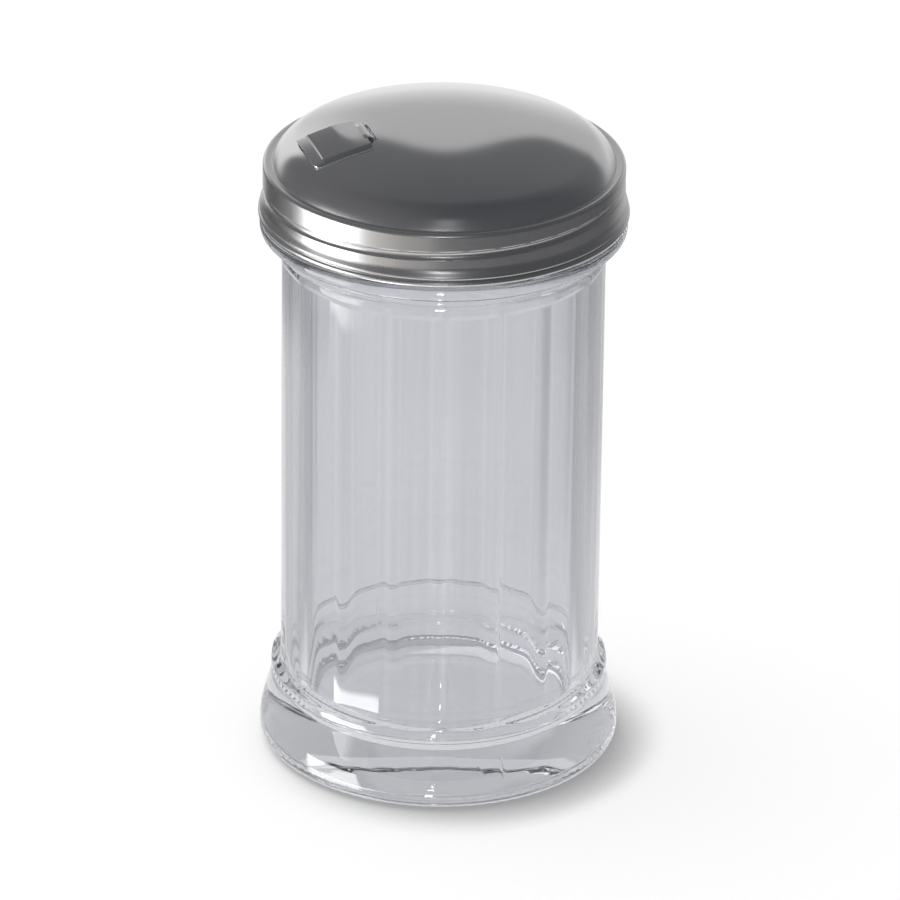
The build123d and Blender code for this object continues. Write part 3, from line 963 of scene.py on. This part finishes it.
def flap_knuckle(flap, lid):
    """The tongue's curl round the bar."""
    axis = hinge_height(lid)
    tab = flap.heel + 0.5 * MM
    parts, columns = 40, 4
    shape = bmesh.new()
    grids = []
    for radius in (flap.bore + flap.sheet, flap.bore):
        turns = [-flap.wrap * part / parts for part in range(parts + 1)]
        line = [(tab, radius)] + [(radius * sin(turn), radius * cos(turn)) for turn in turns]
        sides = [-flap.tongue / 2 + flap.tongue * column / columns for column in range(columns + 1)]
        grids.append([[shape.verts.new((x, side, axis + z)) for side in sides] for x, z in line])
    close_sheet(shape, *grids)
    return moved(shape, on_dome(lid, flap.hinge_reach))


class DISPENSER_OT_pour_flap(bpy.types.Operator):
    """Press the pour flap and curl its tongue round the hinge bar"""

    bl_idname = "dispenser.pour_flap"
    bl_label = "Pour Flap"

    def execute(self, context):
        lid = context.scene.dispenser_lid
        flap = context.scene.dispenser_flap
        shape = flap_plate(flap, lid)
        knuckle = flap_knuckle(flap, lid)
        curl = bpy.data.meshes.new("curl")
        knuckle.to_mesh(curl)
        knuckle.free()
        shape.from_mesh(curl)
        bpy.data.meshes.remove(curl)
        bmesh.ops.recalc_face_normals(shape, faces=shape.faces)
        piece = finished("steel_flap", shape)
        piece.data.materials.append(steel_finish("flap_steel", lid.steel, 0.2, 0.6))
        bevel = piece.modifiers.new("edge", "BEVEL")
        bevel.width = 0.09 * MM
        bevel.segments = 2
        bevel.limit_method = "ANGLE"
        bevel.angle_limit = radians(50)
        plain(piece)
        piece.data.set_sharp_from_angle(angle=radians(50))
        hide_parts("pour_flap")
        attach(piece, "flap")
        return {"FINISHED"}


# ------------------------------------------------------------------ stage
# Bearings in the studio are in degrees, from the camera's right round towards the back.
WINDOW = (-180, -176, -151, -142)
WARM_SIDE = (-150, -138, -106, -92)
DARK_FRONT = (-106, -92, 28, 60)


def studio_axes(nodes, vector, bearing):
    """A vector's parts to the right of the studio, to its back, and up."""
    right, back = (cos(bearing), sin(bearing), 0.0), (-sin(bearing), cos(bearing), 0.0)
    return [
        nodes.number("ShaderNodeVectorMath", "Value", {0: vector, 1: axis}, operation="DOT_PRODUCT")
        for axis in (right, back, (0.0, 0.0, 1.0))
    ]


def studio_point(stage, bearing, elevation, distance):
    """A point of the studio, from its bearing and elevation in degrees."""
    turned = radians(bearing) + stage.bearing
    flat = distance * cos(radians(elevation))
    return Vector((flat * cos(turned), flat * sin(turned), distance * sin(radians(elevation))))


def sector(bearing, *limits):
    """1 within these bearings of the studio, given in degrees: start, full, fading and end."""
    return between(bearing, *(radians(limit) for limit in limits))


def turning(bearing, low, high):
    """A ramp between two bearings of the studio, given in degrees."""
    return ramped(bearing, radians(low), radians(high))


def studio_world(stage):
    """White paper all round, with the studio's dark ceiling and front in what metal and glass mirror."""
    world = bpy.data.worlds.new("studio")
    bpy.context.scene.world = world
    world.use_nodes = True
    nodes = Nodes(world.node_tree)
    direction = nodes.add("ShaderNodeTexCoord").outputs["Generated"]
    across, back, up = studio_axes(nodes, direction, stage.bearing)

    # The paper at the back ends in a wavy upper edge: a broad arch, with a peak in its middle.
    arch_middle, arch_half = 0.09, 0.27
    off_arch = larger(abs(across - arch_middle) - arch_half, 0)
    arch = 0.455 - 0.12 * across - 1.9 * off_arch * off_arch
    peak = 0.67 - 6.5 * across * across
    skyline = maths("SMOOTH_MAX", arch, peak, 0.12)
    on_paper = ramped(up - skyline, 0.035, -0.03) * ramped(back, -0.05, 0.05)
    low = mixed(ramped(across, 0.45, 0.8), grey(0.95), grey(0.5))
    middle = mixed(ramped(up, -0.15, 0.3), low, grey(0.56))
    paper = mixed(ramped(across, -0.12, -0.3), middle, grey(0.93))

    # The room is dark, a little lighter on the left, with a dim card overhead at the front.
    ceiling = mixed(ramped(back, 0.1, 0.85), (0.078, 0.081, 0.088), (0.165, 0.168, 0.175))
    room = mixed(ramped(across, 0.2, -0.8), ceiling, (0.16, 0.16, 0.165))
    card = ramped(abs(across - 0.03), 0.1, 0.05) * ramped(abs(up - 0.7), 0.17, 0.1)
    room = mixed(card * ramped(back, 0.05, -0.05), room, grey(0.42))

    window = sector(maths("ARCTAN2", back, across), *WINDOW) * ramped(up, 0.4, 0.1)
    mirrored = mixed(window, mixed(on_paper, room, paper), grey(2.8))
    camera, glossy, through = nodes.rays("Camera", "Glossy", "Transmission")
    softened = mixed(0.7 * through, mirrored, stage.paper)
    shown = mixed(glossy * (1 - camera), stage.paper, softened)
    strength = larger(larger(camera, through), glossy)
    level = stage.level + (1 - stage.level) * strength
    background = nodes.first("ShaderNodeBackground", {"Color": shown, "Strength": level})
    nodes.add("ShaderNodeOutputWorld", {"Surface": background})


def table_mirrored(nodes, across, back):
    """What metal and glass mirror of the table: the studio's sides beyond it, a window and lamps on it."""
    reach = maths("SQRT", across * across + back * back)
    bearing = maths("ARCTAN2", back, across)
    far = ramped(reach, 0.20, 0.25)
    right = ramped(across / reach, 0.1, 0.6) * ramped(reach, 0.08, 0.2)
    shade = mixed(right, grey(0.95), grey(0.5))
    warm = mixed(turning(bearing, -128, -108), (0.62, 0.60, 0.57), (0.35, 0.33, 0.31))
    shade = mixed(sector(bearing, *WARM_SIDE) * far, shade, warm)
    shade = mixed(sector(bearing, *DARK_FRONT) * far, shade, (0.10, 0.10, 0.105))
    shade = mixed(turning(bearing, 110, 128) * far, shade, grey(0.12))

    # The window stands beyond the table, and its light lies on the table in front of the foot.
    window = larger(turning(bearing, 172, 180), turning(bearing, *WINDOW[:1:-1]))
    window = 4.5 * window * ramped(reach, 0.250, 0.262)
    slant = 0.727
    patch = ramped(back, -25 * MM, -27.5 * MM) * ramped(back - slant * across, -24 * MM, -21.5 * MM)
    patch = 10 * patch * between(reach, 40.5 * MM, 42.5 * MM, 72 * MM, 76 * MM)

    # A row of small lamps in front, which shows as sparks in the foot.
    first_spark, spark_gap, off_middle = 46 * MM, 5 * MM, 2.5 * MM
    sparks = ramped(maths("PINGPONG", reach - first_spark, spark_gap), 1.4 * MM, 0.8 * MM)
    sparks = 40 * sparks * ramped(abs(across + off_middle), 1.3 * MM, 0.7 * MM) * ramped(back, 0, -20 * MM)
    sparks = sparks * between(reach, 41 * MM, 43 * MM, 82 * MM, 92 * MM)
    return nodes.first("ShaderNodeEmission", {"Color": shade, "Strength": 1 + window + patch + sparks})


def table_finish(stage):
    """White paper that keeps the object's shadow, partly as real shade and partly as a painted shadow, with
    the studio's far side in what metal and glass mirror.
    """
    material, nodes = new_material("table_paper")
    place = nodes.add("ShaderNodeTexCoord").outputs["Object"]
    across, back, _ = studio_axes(nodes, place, stage.bearing)
    camera, glossy, through = nodes.rays("Camera", "Glossy", "Transmission")

    # A painted shadow: the emission that the camera sees darkens where ambient occlusion, turned towards the
    # key lamp, finds the foot close by, so the soft dark edge under the foot lies on the side that is turned
    # away from the key lamp.
    towards_key = nodes.vector(*studio_point(stage, 140, 40, 1.0))
    shelter = {"Distance": 12 * MM, "Normal": towards_key}
    open_to_key = nodes.number("ShaderNodeAmbientOcclusion", "AO", shelter, samples=8)
    shown = mixed(camera * ramped(open_to_key, 0.97, 0.35), stage.paper, (0.05, 0.05, 0.055))

    # Through the glass, the cards at the sides come into view towards the back.
    beside = (abs(across) - 0.030) / (0.02 + 0.3 * larger(back, 0))
    cards = ramped(beside, 0.0, 0.9) * ramped(back, 0, 30 * MM)
    shown = mixed(through * cards, shown, stage.cards)
    white = nodes.first("ShaderNodeEmission", {"Color": shown, "Strength": 1.06})
    diffuse = nodes.first("ShaderNodeBsdfDiffuse", {"Color": stage.paper})
    lit = nodes.mix_shader(larger(0.5 * camera, 0.85 * through), diffuse, white)
    surface = nodes.mix_shader(glossy * (1 - through), lit, table_mirrored(nodes, across, back))
    nodes.add("ShaderNodeOutputMaterial", {"Surface": surface})
    return material


def lamp(name, power, place, aim, size, only=None):
    """A lamp of this width and height at a place, turned towards a point; it can light one piece alone."""
    light = bpy.data.lights.new(name, "AREA")
    light.energy = power
    light.shape = "RECTANGLE"
    light.size, light.size_y = size
    holder = bpy.data.objects.new(name, light)
    holder.location = place
    holder.rotation_euler = (Vector(aim) - place).to_track_quat("-Z", "Y").to_euler()
    bpy.context.scene.collection.objects.link(holder)
    if only:
        lit = bpy.data.collections.new(name)
        lit.objects.link(only)
        holder.light_linking.receiver_collection = lit
    return holder


def studio_camera(stage):
    """The camera, a little above the dispenser and turned a little on its own axis."""
    elevation, roll = radians(25.86), radians(0.685)
    aim, distance = Vector((1.747, -0.551, 64.89)) * MM, 1.653
    right = Vector((cos(stage.bearing), sin(stage.bearing), 0))
    back = Vector((-sin(stage.bearing), cos(stage.bearing), 0))
    forward = back * cos(elevation) - Vector((0, 0, sin(elevation)))
    upward = right.cross(forward)
    axes = Matrix((right * cos(roll) + upward * sin(roll), upward * cos(roll) - right * sin(roll), -forward))
    camera = bpy.data.cameras.new("camera")
    camera.sensor_width = 36.0
    camera.lens = 319.04
    holder = bpy.data.objects.new("camera", camera)
    holder.matrix_world = Matrix.Translation(aim - forward * distance) @ axes.transposed().to_4x4()
    bpy.context.scene.collection.objects.link(holder)
    bpy.context.scene.camera = holder


class DISPENSER_OT_stage(bpy.types.Operator):
    """Set the table, the studio light and the camera"""

    bl_idname = "dispenser.stage"
    bl_label = "Stage"

    def execute(self, context):
        stage = context.scene.dispenser_stage
        context.scene.view_settings.view_transform = "Standard"
        light_paths = context.scene.cycles
        light_paths.max_bounces = 32
        light_paths.glossy_bounces = 16
        light_paths.transmission_bounces = 32
        light_paths.transparent_max_bounces = 32
        studio_world(stage)
        shape = bmesh.new()
        bmesh.ops.create_grid(shape, x_segments=1, y_segments=1, size=6.0)
        table = finished("table", shape)
        table.data.materials.append(table_finish(stage))

        jar = bpy.data.objects["pressed_jar"]
        key = lamp("key", stage.key, studio_point(stage, 155, 62, 1.5), (0, 0, 0.06), (1.3, 1.3))
        key.visible_glossy = False
        window = studio_point(stage, -160, 24, 1.2)
        lamp("jar_window", stage.window, window, (0, 0, 0.05), (0.72, 1.1), jar)
        foot = (0, 0, 0.02)
        small, large, on_glass = 0.045, 0.09, 20
        fronts = (("front_low", -92.5, 18, 0.16), ("front_high", -91.5, 28, 0.22))
        for name, bearing, elevation, power in fronts:
            place = studio_point(stage, bearing, elevation, 1.0)
            lamp(name, power, place, foot, (small, small))
            lamp("jar_" + name, on_glass * power, place, foot, (large, large), jar)
        studio_camera(stage)
        return {"FINISHED"}


# ------------------------------------------------------------------ panel in the sidebar
class DISPENSER_PT_parts(bpy.types.Panel):
    """Lists the parts of the dispenser"""

    bl_idname = "DISPENSER_PT_parts"
    bl_label = "Sugar Dispenser"
    bl_space_type = "VIEW_3D"
    bl_region_type = "UI"
    bl_category = "Dispenser"

    def draw(self, context):
        for operator in OPERATORS:
            self.layout.operator(operator.bl_idname)


OPERATORS = (
    DISPENSER_OT_glass_jar,
    DISPENSER_OT_screw_lid,
    DISPENSER_OT_pour_flap,
    DISPENSER_OT_stage,
)
SETTINGS = {
    "dispenser_jar": GlassJarSettings,
    "dispenser_lid": ScrewLidSettings,
    "dispenser_flap": PourFlapSettings,
    "dispenser_stage": StageSettings,
}


def register():
    for group in SETTINGS.values():
        bpy.utils.register_class(group)
    for operator in OPERATORS:
        bpy.utils.register_class(operator)
    bpy.utils.register_class(DISPENSER_PT_parts)
    for name, group in SETTINGS.items():
        setattr(bpy.types.Scene, name, bpy.props.PointerProperty(type=group))


def unregister():
    for name in SETTINGS:
        delattr(bpy.types.Scene, name)
    bpy.utils.unregister_class(DISPENSER_PT_parts)
    for operator in reversed(OPERATORS):
        bpy.utils.unregister_class(operator)
    for group in reversed(SETTINGS.values()):
        bpy.utils.unregister_class(group)


def main():
    register()
    bpy.ops.dispenser.glass_jar()
    bpy.ops.dispenser.screw_lid()
    bpy.ops.dispenser.pour_flap()
    bpy.ops.dispenser.stage()


if __name__ == "__main__":
    main()
